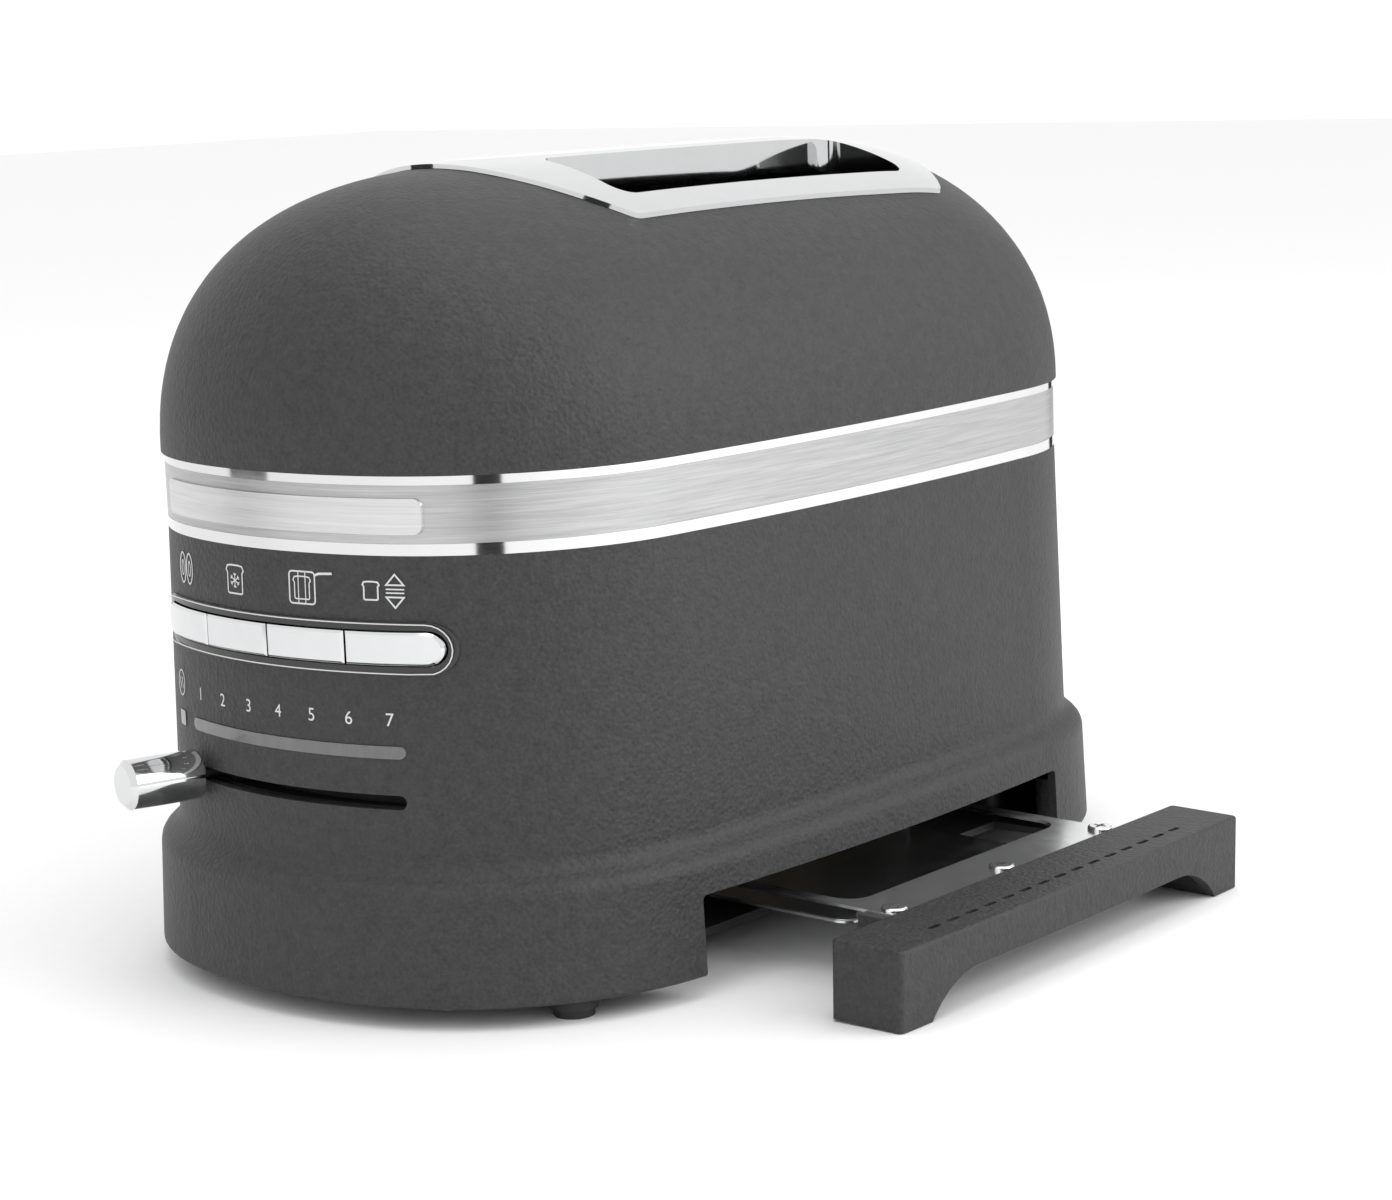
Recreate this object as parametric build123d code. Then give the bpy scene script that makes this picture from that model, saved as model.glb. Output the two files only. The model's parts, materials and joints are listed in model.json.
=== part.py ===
from build123d import *
import os
from math import asin, atan2, cos, degrees, hypot, pi, radians, sin, sqrt, tan

os.makedirs("parts", exist_ok=True)

# All sizes are in millimetres. +Y runs from the front controls to the back, +X is the side that the
# crumb tray comes out of, +Z is up, and the origin is the middle of the footprint on the worktop.

# Casing: an oval of eight tangent arcs seen from above, always offset outwards or inwards
half_width = 81.5
half_length = 142.5
side_radius = 1000.0
end_radius = 110.0
corner_radius = 66.0
wall = 2.5
skirt_bottom = 5.5
shoulder_z = 34.5
waist_z = 39.0
band_low_z = 117.0
band_top_z = 136.5
shell_top_z = 207.1
skirt_foot_offset = 8.0
skirt_shoulder_offset = 6.9
waist_offset = 1.7
shell_overhang = 0.8

# Dome of the upper casing: how the oval shrinks with height, across and along
width_fall = 2.156
width_round = 1.93
length_fall = 2.309
length_round = 5.807

# Chrome slot plate and its two bread slots
plate_half_width = 50.0
plate_front_y = -77.0
plate_rear_y = 104.0
plate_end_radius = 66.0
plate_proud = 1.2
slot_near_x = 12.3
slot_far_x = 42.0
slot_front_y = -50.0
slot_rear_y = 76.0
slot_corner = 6.0
lip_depth = 8.0
lip_wall = 1.0

# Front controls
pill_half_length = 51.5
pill_low_z = 87.6
pill_top_z = 100.8
button_half_row = 48.9
button_low_z = 90.2
button_top_z = 98.4
button_gap = 0.5
button_proud = 2.0
lamp_left_x = -35.4
lamp_right_x = 38.9
lamp_low_z = 66.8
lamp_top_z = 70.0
warm_lamp_x = -43.4
slider_left_x = -35.4
slider_right_x = 38.6
slider_low_z = 54.1
slider_top_z = 57.7
knob_z = 56.0
knob_radius = 6.5
knob_rest_x = -31.2
digit_pitch = 11.05
digit_count = 7

# Crumb tray, described closed and level, then drawn out to its rest place
tray_opening_half = 81.0
tray_opening_top = 26.3
bar_half_length = 80.3
bar_outer_x = 86.4
bar_depth = 21.2
bar_low_z = 5.2
bar_height = 20.3
pan_half_width = 52.0
pan_back_x = -62.0
tray_travel = 59.2
tray_slope = 1.5
tray_droop = 1.38
tray_pivot_x = -57.0
tray_pivot_z = 21.8

# Toasting chamber
bulkhead_front_y = -58.0
bulkhead_rear_y = 83.0
bulkhead_sheet = 1.0
deck_z = 29.0
rack_x = 27.2
heater_x = 50.5
carriage_z = 131.0
lift_travel = 66.0
guide_open_inner_x = 10.0
guide_open_outer_x = 44.5
rod_x = 12.0
rod_y = -70.0
rod_radius = 2.0

# Lift drive
gear_x = 20.1
gear_z = 102.0
rack_pitch_x = 6.0
pinion_teeth = 28
pinion_module = 1.0
wheel_teeth = 72
motor_teeth = 18
wheel_module = 0.8
motor_angle = -50.0

# Electronics
board_y = -118.0
board_sheet = 1.6
power_board_y = 100.0

# Feet
foot_height = 6.0
foot_radius = 6.3
foot_pad_radius = 5.2
foot_pad_height = 2.2
foot_reach = 64.0
foot_angle = 33.0
boss_reach = 68.0
boss_angles = (12.0, 60.0)


# ---------------------------------------------------------------- outline


def corner_arc_centre():
    """Centre of the corner arc that is tangent to the side arc and the end arc."""
    side = Vector(half_width - side_radius, 0)
    end = Vector(0, half_length - end_radius)
    to_side = side_radius - corner_radius
    to_end = end_radius - corner_radius
    apart = (end - side).length
    along = (to_side**2 - to_end**2 + apart**2) / (2 * apart)
    across = sqrt(to_side**2 - along**2)
    direction = (end - side).normalized()
    normal = Vector(-direction.Y, direction.X)
    found = [side + direction * along + normal * sign * across for sign in (-1, 1)]
    return max(found, key=lambda centre: centre.X + centre.Y)


corner_centre = corner_arc_centre()
side_centre = Vector(half_width - side_radius, 0)
end_centre = Vector(0, half_length - end_radius)
side_turn = degrees(atan2(corner_centre.Y, corner_centre.X - side_centre.X))
end_turn = degrees(atan2(corner_centre.Y - end_centre.Y, corner_centre.X))


def arcs():
    """The oval's arcs, anticlockwise from the middle of the +X side: centre, radius and angles."""
    cx, cy = corner_centre.X, corner_centre.Y
    return [
        ((side_centre.X, 0), side_radius, 0, side_turn),
        ((cx, cy), corner_radius, side_turn, end_turn),
        ((0, end_centre.Y), end_radius, end_turn, 180 - end_turn),
        ((-cx, cy), corner_radius, 180 - end_turn, 180 - side_turn),
        ((-side_centre.X, 0), side_radius, 180 - side_turn, 180 + side_turn),
        ((-cx, -cy), corner_radius, 180 + side_turn, 180 + end_turn),
        ((0, -end_centre.Y), end_radius, 180 + end_turn, 360 - end_turn),
        ((cx, -cy), corner_radius, 360 - end_turn, 360 - side_turn),
        ((side_centre.X, 0), side_radius, 360 - side_turn, 360),
    ]


def on_circle(centre, radius, angle, z=0.0):
    return (
        centre[0] + radius * cos(radians(angle)),
        centre[1] + radius * sin(radians(angle)),
        z,
    )


def outline(offset, z=0.0):
    """The closed oval wire, its arcs moved outwards by offset."""
    edges = []
    for centre, radius, start, end in arcs():
        points = [on_circle(centre, radius + offset, a, z) for a in (start, (start + end) / 2, end)]
        edges.append(ThreePointArc(*points))
    return Wire(edges)


def outline_points(offset, per_arc=5):
    """Points round the oval, anticlockwise from the middle of the +X side."""
    points = []
    for centre, radius, start, end in arcs():
        for step in range(per_arc):
            points.append(on_circle(centre, radius + offset, start + (end - start) * step / per_arc)[:2])
    return points


def slab(offset, low, high):
    """A flat plate of the oval outline."""
    return extrude(make_face(outline(offset, low)), high - low, dir=(0, 0, 1))


def wall_ring(points, rounded=()):
    """A ring whose section is a polygon of (offset, height) points carried round the oval."""
    corners = [(half_width + offset, 0, height) for offset, height in points]
    section = make_face(Polyline(*corners, close=True))
    for index, radius in rounded:
        target = Vector(*corners[index])
        vertex = min(section.vertices(), key=lambda v: (Vector(*v) - target).length)
        section = section.face().fillet_2d(radius, [vertex])
    return sweep(section, path=outline(0))


def wall_offset(z):
    """Outer offset of the tapering wall between the waist and the trim band."""
    return waist_offset * (band_low_z - z) / (band_low_z - waist_z)


def dome_section(offset, part_height):
    """Closed outline of the dome at a part of its height."""
    across = (1 - part_height**width_fall) ** (1 / width_round)
    along = (1 - part_height**length_fall) ** (1 / length_round)
    z = band_top_z + (shell_top_z - band_top_z + offset) * part_height
    ring = [(x * across, y * along, z) for x, y in outline_points(offset)]
    return Wire([Spline(*ring, periodic=True)])


def dome(offset, steps=12, last=84.0):
    """The solid dome above the trim band, moved outwards by offset."""
    heights = [sin(radians(last * step / (steps - 1))) for step in range(steps)]
    return Solid.make_loft([dome_section(offset, height) for height in heights])


# ---------------------------------------------------------------- helpers


def block(x0, x1, y0, y1, z0, z1):
    """An upright box between two corners."""
    return Pos((x0 + x1) / 2, (y0 + y1) / 2, (z0 + z1) / 2) * Box(x1 - x0, y1 - y0, z1 - z0)


def rod(axis, radius, start, end, a, b):
    """A round bar along X, Y or Z from start to end; a and b are its other two coordinates."""
    middle = (start + end) / 2
    length = end - start
    if axis == "X":
        return Pos(middle, a, b) * Rot(0, 90, 0) * Cylinder(radius, length)
    if axis == "Y":
        return Pos(a, middle, b) * Rot(90, 0, 0) * Cylinder(radius, length)
    return Pos(a, b, middle) * Cylinder(radius, length)


def front_prism(sketch, x, z, reach=200.0):
    """A sketch seen from the front, extended along Y through the front wall."""
    return extrude(Plane.XZ * Pos(x, z) * sketch, reach)


def front_pill(x0, x1, z0, z1):
    return front_prism(SlotOverall(x1 - x0, z1 - z0), (x0 + x1) / 2, (z0 + z1) / 2)


def upright_prism(sketch, x, y, z0, z1):
    return extrude(Pos(x, y, z0) * sketch, z1 - z0)


def end_angle_at(x, radius=end_radius):
    """Angle from straight ahead, about the front end's centre, of a point at x on the front wall."""
    return degrees(asin(x / radius))


def about_front(shape, angle):
    """A shape drawn straight ahead of the front end's centre, turned to an angle."""
    return Pos(0, -end_centre.Y, 0) * Rot(0, 0, angle) * Pos(0, end_centre.Y, 0) * shape


def corner_point(reach, angle, side, end):
    """A point at a distance from a corner arc's centre; side and end are +1 or -1."""
    x = corner_centre.X + reach * cos(radians(angle))
    y = corner_centre.Y + reach * sin(radians(angle))
    return side * x, end * y


corners_of_case = [(side, end) for side in (-1, 1) for end in (-1, 1)]
nodes = {}


def group(solids):
    """Several separate solids held in one node."""
    return Compound([s for shape in solids for s in shape.solids()])


def pan_screw(head_radius, head_height, shank_radius, shank_length):
    """A pan-head cross-recess screw standing up: head above z = 0, shank below."""
    head = Pos(0, 0, head_height / 2) * Cylinder(head_radius, head_height)
    head = fillet(head.edges().group_by(Axis.Z)[-1], head_height * 0.6)
    recess_depth = head_height * 0.7
    for turn in (0, 90):
        arm = Rot(0, 0, turn) * Box(head_radius * 1.1, head_radius * 0.28, recess_depth * 2)
        head -= Pos(0, 0, head_height) * arm
    return head + Pos(0, 0, -shank_length / 2) * Cylinder(shank_radius, shank_length)


# ---------------------------------------------------------------- casing


def lower_shell():
    """Cast lower casing: skirt, waist, tapering wall and the rebated seat for the trim band."""
    section = [
        (skirt_foot_offset, skirt_bottom),
        (skirt_shoulder_offset, shoulder_z),
        (waist_offset, waist_z),
        (0.0, band_low_z),
        (-wall, band_low_z),
        (waist_offset - wall, waist_z - 1.5),
        (skirt_shoulder_offset - wall, shoulder_z - 1.5),
        (skirt_foot_offset - wall, skirt_bottom),
    ]
    shell = wall_ring(section, [(0, 1.0), (1, 5.0), (2, 5.0)])
    shell += wall_ring([(-1.5, 113.0), (-1.5, band_top_z - 0.2), (-3.5, band_top_z - 0.2), (-3.5, 113.0)])
    for side, end in corners_of_case:
        for angle in boss_angles:
            x, y = corner_point(boss_reach, angle, side, end)
            shell += rod("Z", 4.5, 8.0, 22.0, x, y) & slab(skirt_shoulder_offset, 5.0, 30.0)
        x, y = corner_point(58.0, 40.0, side, end)
        lug = upright_prism(RectangleRounded(10, 10, 2), x, y, 130.0, 136.0)
        reach = corner_point(63.0, 40.0, side, end)
        lug += upright_prism(RectangleRounded(7, 7, 1), *reach, 130.0, 136.0) & slab(-2.5, 129, 137)
        shell += lug
    shell -= tray_opening()
    shell -= front_pill(-pill_half_length + 1.6, pill_half_length - 1.6, pill_low_z + 1.6, pill_top_z - 1.6)
    shell -= front_pill(lamp_left_x - 0.1, lamp_right_x + 0.1, lamp_low_z - 0.1, lamp_top_z + 0.1)
    shell -= front_prism(RectangleRounded(4.2, 4.2, 0.8), warm_lamp_x, (lamp_low_z + lamp_top_z) / 2)
    shell -= front_pill(slider_left_x, slider_right_x, slider_low_z, slider_top_z)
    shell -= rod("Y", 6.0, 130, 160, 0, 20)
    for side, end in corners_of_case:
        for angle in boss_angles:
            shell -= rod("Z", 1.45, 7.0, 19.0, *corner_point(boss_reach, angle, side, end))
        shell -= rod("Z", 1.9, 129.0, 137.0, *corner_point(58.0, 40.0, side, end))
    return shell


def tray_opening():
    """The notch in the +X skirt that the tray bar closes."""
    height = 2 * (tray_opening_top - skirt_bottom)
    profile = RectangleRounded(2 * tray_opening_half, height, 1.5)
    return extrude(Plane.YZ.offset(60) * Pos(0, skirt_bottom - 0.01) * profile, 60)


def trim_ring():
    """Bright band round the middle: a shallow channel with raised polished edges."""
    section = [
        (-1.3, band_low_z),
        (0.0, band_low_z),
        (0.0, band_low_z + 2.9),
        (-0.4, band_low_z + 2.9),
        (-0.4, band_top_z - 2.3),
        (0.0, band_top_z - 2.3),
        (0.0, band_top_z),
        (-1.3, band_top_z),
    ]
    return wall_ring(section)


def band_insert():
    """Brushed strip lying in the trim ring's channel."""
    low = band_low_z + 2.95
    high = band_top_z - 2.35
    return wall_ring([(-0.38, low), (-0.06, low), (-0.06, high), (-0.38, high)])


def nameplate():
    """Plain raised plate on the front of the band."""
    plate = wall_ring([(-0.04, 120.5), (0.75, 120.5), (0.75, 133.5), (-0.04, 133.5)])
    return plate & front_prism(RectangleRounded(89.4, 8.8, 2.0), 0, 126.7)


def plate_outline(inset=0.0):
    """Plan of the slot plate: straight sides and ends bowed outwards."""
    half = plate_half_width - inset
    front = plate_front_y + inset
    rear = plate_rear_y - inset
    bow = plate_end_radius - sqrt(plate_end_radius**2 - half**2)
    corners = [(-half, front + bow), (half, front + bow), (half, rear - bow), (-half, rear - bow)]
    edges = [
        ThreePointArc(corners[0], (0, front), corners[1]),
        Line(corners[1], corners[2]),
        ThreePointArc(corners[2], (0, rear), corners[3]),
        Line(corners[3], corners[0]),
    ]
    face = make_face(Wire(edges))
    return face.face().fillet_2d(5.0, face.vertices())


def plate_prism(inset, low, high):
    return Pos(0, 0, low) * extrude(plate_outline(inset), high - low, dir=(0, 0, 1))


def slot_prism(grow, low, high):
    """Both bread slots as upright prisms, widened by grow."""
    width = slot_far_x - slot_near_x + 2 * grow
    length = slot_rear_y - slot_front_y + 2 * grow
    shape = RectangleRounded(width, length, slot_corner + grow)
    x = (slot_near_x + slot_far_x) / 2
    y = (slot_front_y + slot_rear_y) / 2
    return upright_prism(shape, x, y, low, high) + upright_prism(shape, -x, y, low, high)


def upper_shell():
    """Domed upper casing with the opening that the slot plate covers."""
    shell = dome(shell_overhang) - dome(shell_overhang - wall)
    shell -= plate_prism(2.5, 150, 220)
    for side, end in corners_of_case:
        x, y = corner_point(58.0, 40.0, side, end)
        post = upright_prism(RectangleRounded(9, 9, 2), x, y, 136.6, 160.0)
        post += upright_prism(RectangleRounded(9, 9, 2), *corner_point(62.0, 40.0, side, end), 140.0, 160.0)
        shell += post & dome(shell_overhang - 1.0)
        shell -= rod("Z", 1.45, 136.0, 150.0, x, y)
    return shell


def slot_plate():
    """Chrome plate over the dome's opening, with a short lip down into each slot."""
    skin = dome(shell_overhang + plate_proud) - dome(shell_overhang + 0.1)
    plate = skin & plate_prism(0, 150, 220)
    throat = slot_prism(lip_wall, 150, 220) & dome(shell_overhang + plate_proud)
    throat -= dome(shell_overhang - lip_depth)
    plate = plate + throat - slot_prism(0, 150, 220)
    return plate


# ---------------------------------------------------------------- front controls


def button_surround():
    """Pill-shaped frame set in the front wall, with a collar that guides the four buttons."""
    flange = wall_ring([(-0.05, 80), (0.95, 80), (0.95, 108), (-0.05, 108)])
    wall_cone = wall_ring([(-6.0, 80), (wall_offset(80) + 0.02, 80), (wall_offset(108) + 0.02, 108), (-6.0, 108)])
    flange -= wall_cone
    flange &= front_pill(-pill_half_length, pill_half_length, pill_low_z, pill_top_z)
    collar = wall_ring([(-5.2, 80), (0.9, 80), (0.9, 108), (-5.2, 108)])
    collar &= front_pill(-pill_half_length + 1.7, pill_half_length - 1.7, pill_low_z + 1.7, pill_top_z - 1.7)
    frame = flange + collar
    frame -= front_pill(-button_half_row - 0.4, button_half_row + 0.4, button_low_z - 0.4, button_top_z + 0.4)
    return frame


def button_span(index):
    """Left and right edges of one of the four buttons."""
    pitch = 2 * button_half_row / 4
    left = -button_half_row + pitch * index
    right = left + pitch
    if index > 0:
        left += button_gap / 2
    if index < 3:
        right -= button_gap / 2
    return left, right


def button(index):
    """Push button: bright cap, retaining flange behind the collar and a stem towards its switch."""
    left, right = button_span(index)
    slice_of_row = block(left, right, -170, -90, 80, 110)
    cap = wall_ring([(-6.5, 85), (button_proud, 85), (button_proud, 104), (-6.5, 104)])
    cap &= front_pill(-button_half_row, button_half_row, button_low_z, button_top_z) & slice_of_row
    face_edges = [e for e in cap.edges() if outer_edge(e, button_proud)]
    cap = chamfer(face_edges, 0.6)
    stop = wall_ring([(-7.4, 85), (-5.6, 85), (-5.6, 104), (-7.4, 104)])
    stop &= front_pill(-button_half_row + 0.6, button_half_row - 0.6, 88.4, 100.2) & slice_of_row
    middle = (left + right) / 2
    back = board_y - 7.5
    front = -end_centre.Y - sqrt((end_radius - 7.0) ** 2 - middle**2)
    stem = block(middle - 2.5, middle + 2.5, front, back, 92.3, 96.3)
    return cap + stop + stem


def outer_edge(edge, offset):
    """True for an edge lying wholly on the front cylinder at an offset."""
    radius = end_radius + offset
    for at in (0.0, 0.5, 1.0):
        point = edge @ at
        if abs(hypot(point.X, point.Y + end_centre.Y) - radius) > 0.02:
            return False
    return True


def light_lens():
    """Curved window over the row of lamps."""
    lens = wall_ring([(-1.2, 62), (1.3, 62), (1.3, 75), (-1.2, 75)])
    return lens & front_pill(lamp_left_x, lamp_right_x, lamp_low_z, lamp_top_z)


def warm_lens():
    """Small square window for the keep-warm lamp."""
    lens = wall_ring([(-1.2, 62), (1.3, 62), (1.3, 75), (-1.2, 75)])
    return lens & front_prism(RectangleRounded(4.0, 4.0, 0.7), warm_lamp_x, (lamp_low_z + lamp_top_z) / 2)


def front_sector(inner, outer, from_angle, to_angle, low, high):
    """Part of a flat ring about the front end's centre; angles are from straight ahead."""
    ring = Cylinder(outer, high - low) - Cylinder(inner, high - low + 1)
    ring = Pos(0, -end_centre.Y, (low + high) / 2) * ring
    reach = 200.0
    a, b = radians(from_angle), radians(to_angle)
    tips = [(reach * sin(t), -reach * cos(t) - end_centre.Y) for t in (a, b)]
    wedge = Pos(0, 0, low - 1) * make_face(Polyline((0, -end_centre.Y), *tips, close=True))
    return ring & extrude(wedge, high - low + 2, dir=(0, 0, 1))


def browning_track():
    """Curved guide channel that the browning slider runs in."""
    track = front_sector(96.5, 106.4, -27, 28, 50.0, 52.6)
    track += front_sector(96.5, 98.4, -27, 28, 52.0, 60.0)
    track += front_sector(105.1, 106.4, -27, 28, 52.0, 53.8)
    for x, y in track_posts():
        track += block(x - 3, x + 3, y, board_y, 50.0, 64.2)
    return track


def track_posts():
    """Where the track's two brackets reach back to the control board."""
    return [(-34.0, -124.4), (34.0, -124.4)]


def slider_arm():
    """Slider block in the track with the round stem that comes out through the front slot."""
    rest_angle = end_angle_at(knob_rest_x)
    arm = front_sector(99.0, 104.4, -2.4, 2.4, 53.0, 59.0)
    arm += rod("Y", 1.5, -end_centre.Y - 119.0, -end_centre.Y - 103.0, 0, knob_z)
    return about_front(arm, rest_angle)


def browning_knob():
    """Bright round knob on the slider's stem."""
    front = -end_centre.Y - 134.0
    knob = rod("Y", knob_radius, front, front + 20.8, 0, knob_z)
    knob = chamfer(knob.edges().group_by(Axis.Y)[0], 1.4)
    knob = fillet(knob.edges().group_by(Axis.Y)[-1], 0.8)
    knob -= rod("Y", 1.55, front + 14.8, front + 22.0, 0, knob_z)
    return about_front(knob, end_angle_at(knob_rest_x))


# ---------------------------------------------------------------- base


def base_plate():
    """Bottom cover with vents, posts for the deck and the notch that the tray bar needs."""
    plate = slab(5.0, 6.0, 8.0)
    plate -= block(bar_outer_x - bar_depth - 1.6, 120, -81.5, 81.5, 0, 20)
    for x, y in deck_posts():
        plate += rod("Z", 4.0, 7.0, deck_z, x, y)
        plate -= rod("Z", 1.45, 14.0, deck_z + 1, x, y)
    for side, end in corners_of_case:
        for angle in boss_angles:
            plate -= rod("Z", 1.8, 5.0, 9.0, *corner_point(boss_reach, angle, side, end))
        plate -= rod("Z", 2.2, 5.0, 9.0, *corner_point(foot_reach, foot_angle, side, end))
    for row in range(7):
        for y in (-112.0, 112.0):
            plate -= upright_prism(SlotOverall(26, 3), 0, y + (row - 3) * 6, 5, 9)
    return plate


def deck_posts():
    return [(x, y) for x in (-56.0, 56.0) for y in (-66.0, 91.0)]


def feet():
    """Four stepped rubber feet."""
    made = []
    for side, end in corners_of_case:
        x, y = corner_point(foot_reach, foot_angle, side, end)
        foot = rod("Z", foot_pad_radius, 0, foot_pad_height + 0.5, x, y)
        foot += rod("Z", foot_radius, foot_pad_height, foot_height, x, y)
        foot -= rod("Z", 3.4, -1, 3.4, x, y)
        foot -= rod("Z", 2.2, 0, 7, x, y)
        made.append(foot)
    return group(made)


def foot_screws():
    made = []
    for side, end in corners_of_case:
        x, y = corner_point(foot_reach, foot_angle, side, end)
        made.append(Pos(x, y, 3.4) * Rot(180, 0, 0) * pan_screw(3.1, 1.8, 2.0, 8.0))
        made[-1] = made[-1] + rod("Z", 3.6, 8.1, 10.6, x, y)
    return group(made)


def base_screws():
    made = []
    for side, end in corners_of_case:
        for angle in boss_angles:
            x, y = corner_point(boss_reach, angle, side, end)
            made.append(Pos(x, y, 6.0) * Rot(180, 0, 0) * pan_screw(2.8, 1.6, 1.4, 11.0))
    return group(made)


def shell_screws():
    """Screws from the lower casing's lugs up into the dome."""
    made = []
    for side, end in corners_of_case:
        x, y = corner_point(58.0, 40.0, side, end)
        made.append(Pos(x, y, 130.0) * Rot(180, 0, 0) * pan_screw(3.1, 1.8, 1.4, 17.0))
    return group(made)


def cord_gland():
    """Rubber bush where the mains lead enters the back of the skirt."""
    gland = rod("Y", 5.9, 143.5, 152.4, 0, 20)
    gland += rod("Y", 8.5, 150.3, 152.4, 0, 20)
    gland += rod("Y", 7.5, 143.5, 145.6, 0, 20)
    gland = fillet(gland.edges().group_by(Axis.Y)[-1], 0.8)
    return gland - rod("Y", 3.6, 140, 155, 0, 20)


# ---------------------------------------------------------------- crumb tray


def bar_outline():
    """Plan of the tray bar; its outer face bows slightly to follow the casing."""
    inner = bar_outer_x - bar_depth
    half = bar_half_length
    edges = [
        Line((inner, half), (inner, -half)),
        Line((inner, -half), (bar_outer_x, -half)),
        ThreePointArc((bar_outer_x, -half), (bar_outer_x + 1.3, 0), (bar_outer_x, half)),
        Line((bar_outer_x, half), (inner, half)),
    ]
    return make_face(Wire(edges))


def tray_bar():
    """Cast handle bar: two legs joined by an arch, hollow underneath, with a row of small vents."""
    inner = bar_outer_x - bar_depth
    top = bar_low_z + bar_height
    bar = Pos(0, 0, bar_low_z) * extrude(bar_outline(), bar_height, dir=(0, 0, 1))
    bar = fillet(bar.edges().filter_by(Axis.Z), 1.4)
    bar = fillet(bar.edges().group_by(Axis.Z)[-1], 0.9)
    bar -= bar_arch()
    hollow = block(inner + 3, bar_outer_x - 3, -65, 65, bar_low_z, top - 3)
    bar -= hollow
    for index in range(15):
        y = (index - 7) * 8.15
        bar -= upright_prism(Rot(0, 0, 90) * SlotOverall(5.0, 1.5), bar_outer_x - 6.6, y, top - 5, top + 1)
    for y, width in ((-48.5, 12), (0, 10), (48.5, 12)):
        bar += block(pan_flange_back() + 1.5, inner + 1, y - width / 2, y + width / 2, 12.0, pan_rim_z() - 0.8)
        bar -= rod("Z", 1.35, 14, 30, screw_line_x(), y)
    return bar


def bar_arch():
    """The space under the bar between its two legs."""
    rise = 10.0
    foot = bar_half_length - 12.5
    crown = bar_half_length - 33.0
    low = bar_low_z
    edges = [
        Line((-foot, low - 5), (foot, low - 5)),
        Line((foot, low - 5), (foot, low)),
        ThreePointArc((foot, low), (foot - 7.5, low + 6.6), (crown, low + rise)),
        Line((crown, low + rise), (-crown, low + rise)),
        ThreePointArc((-crown, low + rise), (-foot + 7.5, low + 6.6), (-foot, low)),
        Line((-foot, low), (-foot, low - 5)),
    ]
    return extrude(Plane.YZ.offset(50) * make_face(Wire(edges)), 60)


def pan_rim_z():
    return bar_low_z + bar_height - 1.0


def pan_flange_back():
    return bar_outer_x - bar_depth - 12.0


def screw_line_x():
    return bar_outer_x - bar_depth - 3.6


def tray_pan():
    """Pressed tray: flat rim, sloping sides, floor with a stiffening bead, and the screwed flange."""
    rim = pan_rim_z()
    floor = rim - 7.5
    sheet = 0.8
    back = pan_back_x
    front = pan_flange_back()
    half = pan_half_width
    middle = (back + front) / 2
    length = front - back

    def dish(inset, top):
        mouth = Pos(middle, 0, top) * RectangleRounded(length - 7 - inset, 2 * half - 7 - inset, 7)
        base = Pos(middle, 0, floor) * RectangleRounded(length - 17 - inset, 2 * half - 15 - inset, 5)
        return loft([base, mouth])

    pan = upright_prism(RectangleRounded(length, 2 * half, 8), middle, 0, rim - sheet, rim)
    pan += block(front - 12, front + 11.6, -half, half, rim - sheet, rim)
    pan += dish(2 * sheet, rim - 0.1) & block(back, front, -half, half, floor, rim)
    pan += Pos(middle, 0, floor - sheet / 2) * extrude(
        RectangleRounded(length - 17, 2 * half - 15, 5), sheet / 2 + 0.2, dir=(0, 0, 1)
    )
    pan -= Pos(0, 0, 0.4) * dish(0, rim + 0.5)
    bead = Pos(front - 9.7, 0, floor + 0.2) * Rot(90, 0, 0) * Cylinder(1.6, 76)
    pan += bead & block(back, front, -half, half, floor - 0.4, rim)
    for side in (-1, 1):
        y0, y1 = sorted((side * half, side * (half - 1.0)))
        pan += block(tray_pivot_x - 5, tray_pivot_x + 5, y0, y1, tray_pivot_z - 2.6, rim)
    pan -= rod("Y", 1.07, -60, 60, tray_pivot_x, tray_pivot_z)
    for y in (-48.5, 0, 48.5):
        pan -= rod("Z", 1.7, rim - 2, rim + 1, screw_line_x(), y)
    return pan


def tray_screws():
    made = [
        Pos(screw_line_x(), y, pan_rim_z()) * pan_screw(3.4, 1.2, 1.3, 8.0) for y in (-48.5, 0, 48.5)
    ]
    return group(made)


def tray_glides():
    """Nylon shoes at the tray's inner corners; the tray tips a little on their pins when drawn out."""
    made = []
    for side in (-1, 1):
        y0, y1 = sorted((side * 52.3, side * 54.1))
        shoe = block(tray_pivot_x - 5, tray_pivot_x + 5, y0, y1, tray_pivot_z - 2.2, tray_pivot_z + 2.4)
        pin0, pin1 = sorted((side * 50.6, side * 53.0))
        made.append(shoe + rod("Y", 1.0, pin0, pin1, tray_pivot_x, tray_pivot_z))
    return group(made)


def tray_rails():
    """Two channel rails that carry the tray."""
    made = []
    for side in (-1, 1):

        def strip(inner, outer, low, high):
            y0, y1 = sorted((side * inner, side * outer))
            return block(-64, bar_outer_x - bar_depth - 14, y0, y1, low, high)

        rail = strip(54.5, 55.5, 8.0, 26.6)
        rail += strip(49.6, 55.5, 15.9, 16.9)
        rail += strip(50.0, 55.5, 25.7, 26.6)
        rail += strip(54.5, 58.5, 8.0, 9.0)
        made.append(rail)
    return group(made)


def drawn_out(shape, tilt=True):
    """Moves a closed, level tray piece to where it rests: drawn out and, if tilt, tipped down."""
    if tilt:
        shape = Pos(tray_pivot_x, 0, tray_pivot_z) * Rot(0, tray_droop, 0) * (
            Pos(-tray_pivot_x, 0, -tray_pivot_z) * shape
        )
    drop = tray_travel * sin(radians(tray_slope))
    return Pos(tray_travel * cos(radians(tray_slope)), 0, -drop) * shape


# ---------------------------------------------------------------- toasting chamber


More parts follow.
